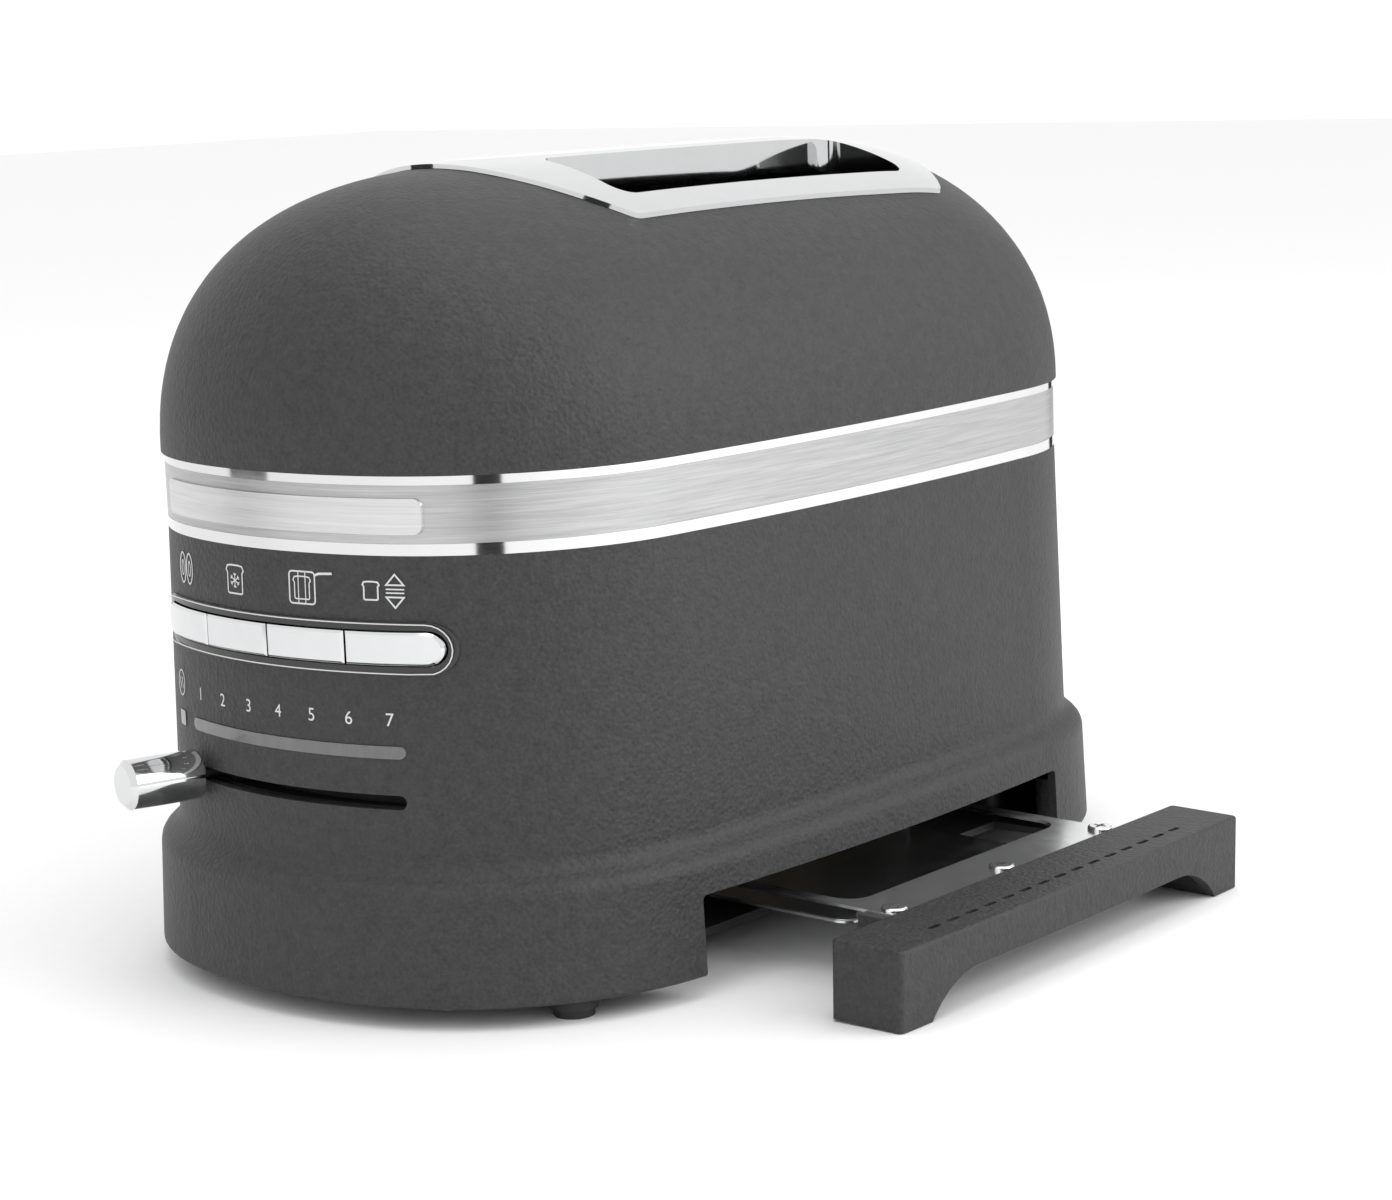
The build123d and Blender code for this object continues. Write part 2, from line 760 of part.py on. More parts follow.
def bulkhead(y):
    """Upright sheet across the casing at one end of the chamber."""
    edge = [(-60, 30), (60, 30), (60, 150), (49, 182), (-49, 182), (-60, 150)]
    face = make_face(Polyline(*edge, close=True))
    sheet = extrude(Plane.XZ.offset(-y) * face, bulkhead_sheet)
    for side in (-1, 1):
        sheet -= block(side * rack_x - 5, side * rack_x + 5, y - 3, y + 3, 52, 150)
    return sheet


def guide_slots(y):
    """Openings in a bulkhead for the ends of the bread guides, which move sideways."""
    slots = []
    for side in (-1, 1):
        for near, far in ((8.0, 19.0), (35.5, 46.5)):
            x0, x1 = sorted((side * near, side * far))
            for z in (47.0, 178.0):
                slots.append(block(x0, x1, y - 3, y + 3, z - 1.6, z + 1.6))
    return slots


def front_bulkhead():
    """Front sheet with the two bent tabs that hold the lift's guide rods."""
    y = bulkhead_front_y
    sheet = bulkhead(y)
    for z in (40.0, 176.0):
        sheet += block(-20, 20, -74.5, y - 0.5, z, z + 1.5)
    for slot in guide_slots(y):
        sheet -= slot
    for x in (-rod_x, rod_x):
        sheet -= rod("Z", rod_radius + 0.02, 30, 190, x, rod_y)
    for x, z in gear_plate_posts():
        sheet -= rod("Y", 1.6, y - 3, y + 3, x, z)
    return sheet


def rear_bulkhead():
    y = bulkhead_rear_y + bulkhead_sheet
    sheet = bulkhead(y)
    for slot in guide_slots(y):
        sheet -= slot
    for x, z in power_board_posts():
        sheet -= rod("Y", 1.6, y - 3, y + 3, x, z)
    return sheet


def deck():
    """Sheet under the chamber, open in the middle so that crumbs fall on the tray."""
    sheet = block(-62, 62, -72, 97, deck_z, deck_z + 1)
    sheet -= block(-50, 50, -56, 81, deck_z - 1, deck_z + 2)
    for x, y in deck_posts():
        sheet -= rod("Z", 1.7, deck_z - 1, deck_z + 2, x, y)
    return sheet


def deck_screws():
    made = [Pos(x, y, deck_z + 1) * pan_screw(2.8, 1.6, 1.4, 12.0) for x, y in deck_posts()]
    return group(made)


def side_reflector(side):
    """Bright sheet outside the outer heater, lipped at top and bottom."""
    x = side * 54.0
    x0, x1 = sorted((x, x + side * 0.8))
    sheet = block(x0, x1, -57, 82, 30.2, 172)
    lip0, lip1 = sorted((x, x + side * 4.0))
    sheet += block(lip0, lip1, -57, 82, 30.2, 31.0)
    return sheet


def heater_board(x):
    """Mica sheet that a heating wire is wound on."""
    board = block(x - 0.5, x + 0.5, -57, 82, 42, 172)
    for z in (60.0, 154.0):
        for y in (-48.0, 12.0, 72.0):
            board -= rod("X", 1.6, x - 2, x + 2, y, z)
    return board


def heater_wire(x, side):
    """Flat heating wire running to and fro along the board."""
    face = x + side * 0.55
    x0, x1 = sorted((face, face + side * 0.5))
    runs = 10
    pitch = 12.0
    bottom = 52.0
    wire = block(x0, x1, -52, 78, bottom, bottom + 1.4)
    for index in range(1, runs):
        z = bottom + pitch * index
        wire += block(x0, x1, -52, 78, z, z + 1.4)
        y = 76.6 if index % 2 else -52.0
        wire += block(x0, x1, y, y + 1.4, z - pitch, z + 1.4)
    return wire


def bread_guide(x, toward):
    """Wire frame beside a slice; toward is the side, +1 or -1, that it closes to."""
    wire = 0.9
    frame = rod("Y", wire, -60.5, 85.5, x, 47.0) + rod("Y", wire, -60.5, 85.5, x, 178.0)
    for index in range(8):
        y = -50.0 + index * 18.0
        frame += rod("Z", wire, 46.5, 178.5, x, y)
    frame += rod("Y", wire, -50.0, 76.0, x - toward * 0.4, 112.0)
    return frame


def bread_rack(side):
    """Strip that carries one slice, running through both bulkheads."""
    x = side * rack_x
    z = carriage_z
    rack = block(x - 4, x + 4, -65.5, 86, z, z + 1)
    rack += block(x - 0.6, x + 0.6, -65.5, 86, z - 5, z + 0.5)
    for index in range(6):
        y = -44.0 + index * 21.0
        rack += block(x - 4, x + 4, y, y + 1, z, z + 3)
    return rack


def lift_carriage():
    """Carriage on the guide rods with the toothed rack that the gear drives."""
    z = carriage_z
    body = block(-32, 32, -67, -65.5, z - 7, z + 6)
    for x in (-rod_x, rod_x):
        body += block(x - 4.8, x + 4.8, -74, -66, z - 7, z + 6)
    body += block(-2, 4, -75, -66, z - 6, z + 5)
    for x in (-rod_x, rod_x):
        body -= rod("Z", rod_radius + 0.06, z - 20, z + 20, x, rod_y)
    return body


def toothed_rack():
    """Upright toothed strip on the carriage; its teeth face +X."""
    low = carriage_z - 35.0
    high = carriage_z + 43.0
    pitch = pi * pinion_module
    body = block(-1.0, rack_pitch_x - 1.25, -80, -75.0, low, high)
    half_root = pitch / 4 + 1.25 * tan(radians(20)) - 0.1
    half_tip = pitch / 4 - 1.0 * tan(radians(20)) - 0.1
    root_x = rack_pitch_x - 1.25
    tip_x = rack_pitch_x + 1.0
    first = int((low - gear_z) / pitch) + 1
    last = int((high - gear_z) / pitch) - 1
    for index in range(first, last + 1):
        z = gear_z + index * pitch
        tooth = make_face(
            Polyline(
                (root_x - 0.2, z - half_root),
                (root_x, z - half_root),
                (tip_x, z - half_tip),
                (tip_x, z + half_tip),
                (root_x, z + half_root),
                (root_x - 0.2, z + half_root),
                close=True,
            )
        )
        body += extrude(Plane.XZ.offset(75.0) * tooth, 5.0)
    return body


def gear_face(teeth, module, backlash=0.12):
    """Outline of a spur gear with involute flanks, one tooth on the +X axis."""
    pitch_radius = teeth * module / 2
    base_radius = pitch_radius * cos(radians(20))
    tip_radius = pitch_radius + module
    root_radius = pitch_radius - 1.25 * module
    flank_start = max(base_radius, root_radius)

    def roll(radius):
        return sqrt(max((radius / base_radius) ** 2 - 1, 0.0))

    def involute(radius):
        return roll(radius) - atan2(roll(radius), 1.0)

    half_tooth = pi / (2 * teeth) - backlash / (2 * pitch_radius)
    points = []
    for tooth in range(teeth):
        middle = 2 * pi * tooth / teeth
        flank = []
        for step in range(5):
            radius = flank_start + (tip_radius - flank_start) * step / 4
            flank.append((radius, half_tooth + involute(pitch_radius) - involute(radius)))
        spread = flank[0][1]
        lower = [(root_radius, spread)] + flank if flank_start > root_radius else flank
        points += [(r * cos(middle - a), r * sin(middle - a)) for r, a in lower]
        points += [(r * cos(middle + a), r * sin(middle + a)) for r, a in reversed(lower)]
    return make_face(Polyline(*points, close=True))


def gear_prism(face, turn, x, z, y0, y1):
    """A gear standing in the XZ plane, turned by an angle in degrees, between two Y planes."""
    disc = extrude(Plane.XZ.offset(-y1) * Pos(x, z) * Rot(0, 0, turn) * face, y1 - y0)
    return disc


def drive_gear():
    """Moulded double gear: a large wheel driven by the motor and a pinion that drives the rack."""
    half_pitch = 180.0 / pinion_teeth
    gear = gear_prism(gear_face(wheel_teeth, wheel_module), 0, gear_x, gear_z, -84.0, -80.6)
    gear += gear_prism(gear_face(pinion_teeth, pinion_module), half_pitch, gear_x, gear_z, -81.0, -75.0)
    for index in range(6):
        angle = radians(60 * index)
        x = gear_x + 21.0 * cos(angle)
        z = gear_z + 21.0 * sin(angle)
        gear -= rod("Y", 4.2, -90, -80.7, x, z)
    return gear - rod("Y", rod_radius + 0.06, -90, -70, gear_x, gear_z)


def motor_place():
    """Axis of the motor, one gear-pair distance from the drive gear."""
    apart = (wheel_teeth + motor_teeth) * wheel_module / 2 + 0.1
    x = gear_x + apart * cos(radians(motor_angle))
    z = gear_z + apart * sin(radians(motor_angle))
    return x, z


def motor_pinion():
    """Small gear on the motor's shaft, in mesh with the wheel."""
    x, z = motor_place()
    wheel_pitch = 360.0 / wheel_teeth
    into_wheel = (motor_angle / wheel_pitch) % 1.0
    own_pitch = 360.0 / motor_teeth
    turn = motor_angle + 180.0 + (0.5 + into_wheel) * own_pitch
    gear = gear_prism(gear_face(motor_teeth, wheel_module), turn, x, z, -84.2, -80.4)
    gear += rod("Y", 3.0, -84.8, -84.0, x, z)
    return gear - rod("Y", 1.06, -90, -70, x, z)


def lift_motor():
    """Small can motor behind the gear plate, with its shaft through it."""
    x, z = motor_place()
    can = rod("Y", 13.0, -108.0, -87.2, x, z)
    can = fillet(can.edges().group_by(Axis.Y)[0], 1.5)
    can += rod("Y", 4.0, -87.4, -85.2, x, z)
    can += rod("Y", 1.0, -86.0, -80.0, x, z)
    can += rod("Y", 3.5, -110.0, -107.0, x, z)
    return can


def gear_plate_posts():
    return [(x, z) for x in (-37.0, 53.0) for z in (56.0, 136.0)]


def gear_plate():
    """Sheet that carries the gear's shaft and the motor."""
    x, z = motor_place()
    plate = block(-41, 57, -86.6, -85.2, 51, 141)
    plate -= rod("Y", 4.1, -90, -80, x, z)
    plate -= rod("Y", rod_radius, -90, -80, gear_x, gear_z)
    for px, pz in gear_plate_posts():
        plate -= rod("Y", 1.6, -90, -80, px, pz)
    for px, pz in control_board_posts():
        plate -= rod("Y", 1.6, -90, -80, px, pz)
    return plate


def gear_shaft():
    shaft = rod("Y", rod_radius, -86.6, -74.6, gear_x, gear_z)
    return shaft + rod("Y", 3.2, -88.0, -86.6, gear_x, gear_z)


def spacers(places, y0, y1, radius=3.0):
    """Posts between two sheets, each with a threaded stub at both ends."""
    made = []
    for x, z in places:
        made.append(rod("Y", radius, y0, y1, x, z) + rod("Y", 1.5, y0 - 1.9, y1 + 1.9, x, z))
    return group(made)


def guide_rods():
    made = [rod("Z", rod_radius, 38.0, 180.0, x, rod_y) for x in (-rod_x, rod_x)]
    return group(made)


# ---------------------------------------------------------------- electronics


def control_board_posts():
    return [(-37.0, 66.0), (-37.0, 108.0), (47.0, 108.0), (6.0, 66.0)]


def control_board():
    board = block(-50, 50, board_y, board_y + board_sheet, 62, 113)
    for x, z in control_board_posts():
        board -= rod("Y", 1.6, -130, -110, x, z)
    chip_y = board_y + board_sheet
    board += block(-22, -8, chip_y, chip_y + 2.2, 84, 98)
    board += block(14, 24, chip_y, chip_y + 6, 96, 106)
    return board


def tact_switches():
    """One small push switch behind each button."""
    made = []
    for index in range(4):
        x = sum(button_span(index)) / 2
        body = block(x - 3, x + 3, board_y - 3.5, board_y, 91.3, 97.3)
        made.append(body + rod("Y", 1.75, board_y - 5.0, board_y - 3.0, x, 94.3))
    return group(made)


def level_lamps():
    """A lamp behind each browning number and one behind the keep-warm window."""
    places = [knob_rest_x + digit_pitch * index for index in range(digit_count)] + [warm_lamp_x]
    made = [block(x - 1.5, x + 1.5, board_y - 2.5, board_y, 66.9, 69.9) for x in places]
    return group(made)


def power_board_posts():
    return [(x, z) for x in (-36.0, 36.0) for z in (54.0, 112.0)]


def power_board():
    board = block(-42, 42, power_board_y, power_board_y + board_sheet, 48, 118)
    for x, z in power_board_posts():
        board -= rod("Y", 1.6, 90, 110, x, z)
    return board


def relay():
    """Relay that switches the heaters, on the back of the power board."""
    face = power_board_y + board_sheet
    body = block(8, 27, face, face + 15.5, 84, 100)
    return fillet(body.edges().filter_by(Axis.Y), 0.8)


def transformer_core():
    """Window-shaped stack of laminations."""
    face = power_board_y + board_sheet
    core = block(-26, -2, face, face + 18, 66, 74) + block(-26, -2, face, face + 18, 88, 96)
    core += block(-26, -22, face, face + 18, 66, 96) + block(-6, -2, face, face + 18, 66, 96)
    return core


def transformer_coil():
    """Winding that fills the core's window."""
    face = power_board_y + board_sheet
    return block(-21.9, -6.1, face + 2, face + 16, 74.1, 87.9)


def terminal_block():
    """Screw terminals on the base plate where the mains lead ends."""
    body = block(-22, 6, 116, 126, 8, 20)
    for index in range(3):
        x = -17.5 + index * 9.5
        body -= rod("Z", 2.4, 14, 21, x, 121)
        body -= rod("Y", 1.8, 115, 127, x, 12)
    return body


# ---------------------------------------------------------------- build


def make_casing():
    nodes["lower_shell"] = lower_shell()
    nodes["upper_shell"] = upper_shell()
    nodes["trim_ring"] = trim_ring()
    nodes["band_insert"] = band_insert()
    nodes["nameplate"] = nameplate()
    nodes["slot_plate"] = slot_plate()
    nodes["base_plate"] = base_plate()
    nodes["feet"] = feet()
    nodes["foot_screws"] = foot_screws()
    nodes["base_screws"] = base_screws()
    nodes["shell_screws"] = shell_screws()
    nodes["cord_gland"] = cord_gland()


def make_controls():
    nodes["button_surround"] = button_surround()
    for index, name in enumerate(("bagel", "frozen", "sandwich", "lift")):
        nodes[name + "_button"] = button(index)
    nodes["light_lens"] = light_lens()
    nodes["warm_lens"] = warm_lens()
    nodes["browning_track"] = browning_track()
    nodes["slider_arm"] = slider_arm()
    nodes["browning_knob"] = browning_knob()


def make_tray():
    nodes["tray_bar"] = drawn_out(tray_bar())
    nodes["tray_pan"] = drawn_out(tray_pan())
    nodes["tray_screws"] = drawn_out(tray_screws())
    nodes["tray_glides"] = drawn_out(tray_glides(), tilt=False)
    nodes["tray_rails"] = tray_rails()


def make_chamber():
    nodes["front_bulkhead"] = front_bulkhead()
    nodes["rear_bulkhead"] = rear_bulkhead()
    nodes["deck"] = deck()
    nodes["deck_screws"] = deck_screws()
    for name, side in (("left", -1), ("right", 1)):
        nodes["reflector_" + name] = side_reflector(side)
        nodes["guide_outer_" + name] = bread_guide(side * guide_open_outer_x, -side)
        nodes["guide_inner_" + name] = bread_guide(side * guide_open_inner_x, side)
        nodes["bread_rack_" + name] = bread_rack(side)
    nodes["heater_boards"] = group([heater_board(x) for x in (-heater_x, 0, heater_x)])
    wires = [heater_wire(-heater_x, 1), heater_wire(0, -1), heater_wire(0, 1), heater_wire(heater_x, -1)]
    nodes["heater_wires"] = group(wires)


def make_drive():
    nodes["guide_rods"] = guide_rods()
    nodes["lift_carriage"] = lift_carriage()
    nodes["toothed_rack"] = toothed_rack()
    nodes["drive_gear"] = drive_gear()
    nodes["motor_pinion"] = motor_pinion()
    nodes["lift_motor"] = lift_motor()
    nodes["gear_plate"] = gear_plate()
    nodes["gear_shaft"] = gear_shaft()
    nodes["plate_posts"] = spacers(gear_plate_posts(), -85.2, bulkhead_front_y - bulkhead_sheet)


def make_electronics():
    nodes["control_board"] = control_board()
    nodes["tact_switches"] = tact_switches()
    nodes["level_lamps"] = level_lamps()
    nodes["power_board"] = power_board()
    front_spacers = spacers(control_board_posts(), board_y + board_sheet, -86.6, 2.5)
    rear_spacers = spacers(power_board_posts(), bulkhead_rear_y + bulkhead_sheet, power_board_y, 2.5)
    nodes["board_spacers"] = group([front_spacers, rear_spacers])
    nodes["relay"] = relay()
    nodes["transformer"] = group([transformer_core(), transformer_coil()])
    nodes["terminal_block"] = terminal_block()


def build():
    make_casing()
    make_controls()
    make_tray()
    make_chamber()
    make_drive()
    make_electronics()
    for name, shape in nodes.items():
        export_step(shape, "parts/" + name + ".step")


build()
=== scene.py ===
"""Finishes, printed marks, floor, light and camera for the pop-up toaster."""

import json
from math import cos, pi, radians, sin, sqrt

import bmesh
import bpy
from mathutils import Matrix, Vector


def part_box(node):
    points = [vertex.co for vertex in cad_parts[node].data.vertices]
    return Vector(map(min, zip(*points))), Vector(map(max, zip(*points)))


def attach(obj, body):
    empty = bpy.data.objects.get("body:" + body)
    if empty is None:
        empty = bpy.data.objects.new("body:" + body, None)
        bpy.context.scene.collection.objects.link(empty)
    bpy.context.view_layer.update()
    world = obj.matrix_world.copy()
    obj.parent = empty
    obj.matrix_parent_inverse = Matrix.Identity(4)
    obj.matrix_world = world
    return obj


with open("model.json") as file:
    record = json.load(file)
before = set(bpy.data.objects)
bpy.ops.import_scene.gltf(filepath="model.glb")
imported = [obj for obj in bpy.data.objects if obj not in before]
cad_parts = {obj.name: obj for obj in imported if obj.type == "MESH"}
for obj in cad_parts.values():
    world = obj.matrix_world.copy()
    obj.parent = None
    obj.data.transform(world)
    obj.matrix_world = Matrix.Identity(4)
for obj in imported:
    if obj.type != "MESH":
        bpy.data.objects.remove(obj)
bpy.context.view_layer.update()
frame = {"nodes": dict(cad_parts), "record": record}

MM = 0.001


# ---------------------------------------------------------------- shader building


# Places of a colour Mix node's sockets
MIX_FACTOR, MIX_FIRST, MIX_SECOND = 0, 6, 7
MIX_COLOUR = 2


class Socket:
    """A shader output that can be used in ordinary arithmetic."""

    def __init__(self, finish, output):
        self.finish = finish
        self.output = output

    def maths(self, operation, first, second):
        return self.finish.node("ShaderNodeMath", {"operation": operation}, {0: first, 1: second})

    def __add__(self, other):
        return self.maths("ADD", self, other)

    def __radd__(self, other):
        return self.maths("ADD", other, self)

    def __mul__(self, other):
        return self.maths("MULTIPLY", self, other)

    def __rmul__(self, other):
        return self.maths("MULTIPLY", other, self)


class Finish:
    """One procedural material while it is being put together."""

    def __init__(self, name):
        self.material = bpy.data.materials.new(name)
        self.material.use_nodes = True
        self.tree = self.material.node_tree
        self.tree.nodes.clear()

    def node(self, kind, settings=None, sockets=None, output=0):
        """Makes any node: its settings first, then its sockets. Returns the chosen output, if any."""
        made = self.tree.nodes.new(kind)
        for key, value in (settings or {}).items():
            if key == "stops":
                self.set_stops(made.color_ramp, value)
            else:
                setattr(made, key, value)
        for key, value in (sockets or {}).items():
            if isinstance(value, Socket):
                self.tree.links.new(value.output, made.inputs[key])
            else:
                made.inputs[key].default_value = value
        return None if output is None else Socket(self, made.outputs[output])

    def set_stops(self, ramp, stops):
        while len(ramp.elements) < len(stops):
            ramp.elements.new(1.0)
        for element, (place, shade) in zip(ramp.elements, stops):
            element.position = place
            element.color = (shade, shade, shade, 1)

    def place(self, stretch=(1, 1, 1)):
        """Position on the piece in metres, stretched along each axis."""
        coordinates = self.node("ShaderNodeTexCoord", output="Object")
        return self.node("ShaderNodeMapping", {}, {"Vector": coordinates, "Scale": stretch})

    def noise(self, size, detail=2.0, stretch=(1, 1, 1), roughness=0.5):
        """Cloudy pattern, 0 to 1, with features of about a size in metres."""
        where = self.place(stretch)
        sockets = {"Vector": where, "Scale": 1 / size, "Detail": detail, "Roughness": roughness}
        return self.node("ShaderNodeTexNoise", {}, sockets)

    def pebbles(self, size):
        """Rounded cells of about a size in metres, 0 in their middles."""
        sockets = {"Vector": self.place(), "Scale": 1 / size, "Smoothness": 0.4}
        return self.node("ShaderNodeTexVoronoi", {"feature": "SMOOTH_F1"}, sockets)

    def ramp(self, factor, stops):
        return self.node("ShaderNodeValToRGB", {"stops": stops}, {0: factor})

    def blend(self, factor, first, second):
        """Colour between two colours."""
        sockets = {MIX_FACTOR: factor, MIX_FIRST: (*first, 1), MIX_SECOND: (*second, 1)}
        return self.node("ShaderNodeMix", {"data_type": "RGBA"}, sockets, MIX_COLOUR)

    def relief(self, height, depth, strength=1.0):
        """Bump normal from a height pattern; depth is in metres."""
        return self.node("ShaderNodeBump", {}, {"Height": height, "Distance": depth, "Strength": strength})

    def surface(self, **values):
        """The finished surface. Underscores in names stand for spaces."""
        sockets = {}
        for key, value in values.items():
            name = key.replace("_", " ")
            sockets[name] = (*value, 1) if isinstance(value, tuple) and len(value) == 3 else value
        shader = self.node("ShaderNodeBsdfPrincipled", {}, sockets)
        self.node("ShaderNodeOutputMaterial", {}, {"Surface": shader}, output=None)
        return self.material


# ---------------------------------------------------------------- finishes


def powder_coat():
    """Charcoal textured powder coat: a fine leathery grain; its colour is paler on the grain's high spots
    and darker in its pits, a painted highlight and painted shade on the relief, mixed with random mottle.
    """
    f = Finish("charcoal powder coat")
    fine = f.noise(0.0009, 4.0, roughness=0.6)
    coarse = f.noise(0.0032, 2.0)
    cells = f.pebbles(0.0014)
    grain = fine * 0.6 + cells * 0.5 + coarse * 0.2
    # Colour from the same noises as the relief: painted highlight on the high spots and painted shade in
    # the pits, partly random mottle.
    shade = f.ramp(fine * 0.7 + coarse * 0.3, [(0.3, 0.0), (0.75, 1.0)])
    colour = f.blend(shade, (0.014, 0.014, 0.0145), (0.046, 0.046, 0.047))
    normal = f.relief(grain, 0.00045, 0.9)
    return f.surface(Base_Color=colour, Roughness=fine * 0.2 + 0.42, Normal=normal, Specular_IOR_Level=0.42)


def brushed(name, dark, light):
    """Stainless steel brushed round the casing in long fine lines."""
    f = Finish(name)
    lines = f.noise(0.00022, 3.0, (0.012, 0.012, 1.0), 0.7)
    broad = f.noise(0.0012, 2.0, (0.03, 0.03, 1.0))
    mix = lines * 0.65 + broad * 0.35
    colour = f.blend(f.ramp(mix, [(0.3, 0.0), (0.7, 1.0)]), dark, light)
    return f.surface(
        Base_Color=colour,
        Metallic=1.0,
        Roughness=mix * 0.22 + 0.24,
        Normal=f.relief(lines, 0.00003, 0.5),
    )


def bright_metal(name, shade, low, spread):
    """Polished or plated metal with faint handling marks and a slight ripple."""
    f = Finish(name)
    marks = f.noise(0.006, 4.0, roughness=0.65)
    ripple = f.noise(0.02, 1.0)
    colour = f.blend(marks, shade, tuple(min(1.0, c * 1.08) for c in shade))
    return f.surface(
        Base_Color=colour,
        Metallic=1.0,
        Roughness=marks * spread + low,
        Normal=f.relief(ripple, 0.00002, 0.25),
    )


def plain_steel(name, shade, rough):
    """Rolled or turned metal with fine scratches."""
    f = Finish(name)
    scratches = f.noise(0.0006, 3.0, (1, 0.08, 1), 0.7)
    clouds = f.noise(0.012, 3.0)
    colour = f.blend(clouds, tuple(c * 0.82 for c in shade), shade)
    return f.surface(
        Base_Color=colour,
        Metallic=1.0,
        Roughness=scratches * 0.18 + rough,
        Normal=f.relief(scratches, 0.00003, 0.4),
    )


def moulding(name, dark, light, rough, grain=0.0007, depth=0.00008):
    """Moulded plastic or rubber with a fine spark-eroded grain."""
    f = Finish(name)
    texture = f.noise(grain, 3.0)
    clouds = f.noise(0.02, 2.0)
    return f.surface(
        Base_Color=f.blend(clouds * 0.6 + texture * 0.4, dark, light),
        Roughness=texture * 0.15 + rough,
        Normal=f.relief(texture, depth, 0.4),
    )


def smoked_lens():
    """Grey diffusing lens with a soft uneven brightness."""
    f = Finish("smoked lens")
    haze = f.noise(0.004, 2.0, (1, 1, 0.3))
    return f.surface(
        Base_Color=f.blend(haze, (0.075, 0.075, 0.078), (0.15, 0.15, 0.153)),
        Roughness=haze * 0.1 + 0.18,
        Coat_Weight=0.5,
        Normal=f.relief(haze, 0.00002, 0.2),
    )


def mica():
    """Silvery brown mica board with flaky layers."""
    f = Finish("mica board")
    flakes = f.noise(0.005, 5.0, roughness=0.7)
    return f.surface(
        Base_Color=f.blend(flakes, (0.3, 0.24, 0.17), (0.58, 0.52, 0.43)),
        Roughness=flakes * 0.3 + 0.35,
        Normal=f.relief(flakes, 0.0001, 0.4),
    )


def circuit_board():
    """Green board with paler copper tracks under the lacquer."""
    f = Finish("circuit board")
    tracks = f.node(
        "ShaderNodeTexBrick",
        {"offset": 0.37, "squash": 1.0},
        {
            "Vector": f.place((1, 1, 1)),
            "Scale": 90.0,
            "Mortar Size": 0.03,
            "Color1": (0, 0, 0, 1),
            "Color2": (0.15, 0.15, 0.15, 1),
            "Mortar": (1, 1, 1, 1),
        },
    )
    return f.surface(
        Base_Color=f.blend(tracks, (0.012, 0.09, 0.035), (0.05, 0.24, 0.09)),
        Roughness=tracks * 0.1 + 0.3,
        Normal=f.relief(tracks, 0.00003, 0.5),
    )


def laminations():
    """Stack of thin steel sheets seen on edge."""
    f = Finish("laminated core")
    stack = f.node(
        "ShaderNodeTexWave",
        {"bands_direction": "Y"},
        {"Vector": f.place(), "Scale": 300.0, "Distortion": 0.2},
        "Fac",
    )
    return f.surface(
        Base_Color=f.blend(stack, (0.08, 0.075, 0.07), (0.3, 0.28, 0.26)),
        Metallic=0.8,
        Roughness=stack * 0.2 + 0.35,
        Normal=f.relief(stack, 0.0001, 0.6),
    )


def printed_ink():
    """Thin light-grey ink with slightly uneven cover."""
    f = Finish("printed ink")
    cover = f.noise(0.0008, 3.0)
    return f.surface(
        Base_Color=f.blend(cover, (0.5, 0.5, 0.5), (0.68, 0.68, 0.68)), Roughness=cover * 0.2 + 0.45
    )


def floor_finish():
    """Pale seamless paper."""
    f = Finish("pale floor")
    fibre = f.noise(0.004, 3.0)
    return f.surface(Base_Color=f.blend(fibre, (0.87, 0.87, 0.87), (0.9, 0.9, 0.9)), Roughness=0.75)


finishes = {
    "powder_coat": powder_coat(),
    "polished_steel": bright_metal("polished steel", (0.7, 0.7, 0.705), 0.05, 0.07),
    "brushed_band": brushed("brushed steel", (0.36, 0.36, 0.365), (0.58, 0.58, 0.585)),
    "chrome": bright_metal("bright chrome", (0.66, 0.665, 0.67), 0.03, 0.05),
    "chrome_screw": bright_metal("bright plated screw", (0.75, 0.75, 0.76), 0.12, 0.12),
    "black_plastic": moulding("black moulding", (0.014, 0.014, 0.014), (0.028, 0.028, 0.028), 0.42),
    "gloss_black": moulding(
        "gloss black moulding", (0.018, 0.018, 0.018), (0.03, 0.03, 0.03), 0.14, 0.002, 0.00002
    ),
    "rubber": moulding("black rubber", (0.012, 0.012, 0.012), (0.026, 0.026, 0.026), 0.62, 0.0005, 0.0001),
    "zinc_screw": plain_steel("zinc plate", (0.6, 0.6, 0.62), 0.28),
    "smoked_lens": smoked_lens(),
    "nylon": moulding("natural nylon", (0.62, 0.6, 0.54), (0.72, 0.7, 0.65), 0.4),
    "sheet_steel": plain_steel("bare sheet steel", (0.5, 0.5, 0.51), 0.24),
    "bright_sheet": plain_steel("aluminised sheet", (0.7, 0.7, 0.71), 0.14),
    "mica": mica(),
    "heater_ribbon": plain_steel("heating ribbon", (0.3, 0.27, 0.24), 0.4),
    "guide_wire": bright_metal("plated wire", (0.66, 0.66, 0.67), 0.14, 0.1),
    "brass": plain_steel("turned brass", (0.72, 0.55, 0.25), 0.22),
    "motor_can": plain_steel("plated can", (0.55, 0.55, 0.57), 0.22),
    "circuit_board": circuit_board(),
    "lamp_body": moulding("clear lamp", (0.62, 0.62, 0.64), (0.75, 0.75, 0.77), 0.15),
    "lamination": laminations(),
}


own_finishes = {
    "tray_pan": bright_metal("pressed bright tray", (0.74, 0.745, 0.75), 0.12, 0.2),
    "nameplate": brushed("satin nameplate", (0.56, 0.56, 0.565), (0.74, 0.74, 0.745)),
}


def finish_cad_pieces():
    """Gives every CAD node the finish of its material slot."""
    for part in frame["record"]["subparts"]:
        piece = frame["nodes"][part["node"]]
        piece.data.materials.clear()
        piece.data.materials.append(own_finishes.get(part["node"]) or finishes[part["material_slot"]])


# ---------------------------------------------------------------- printed marks

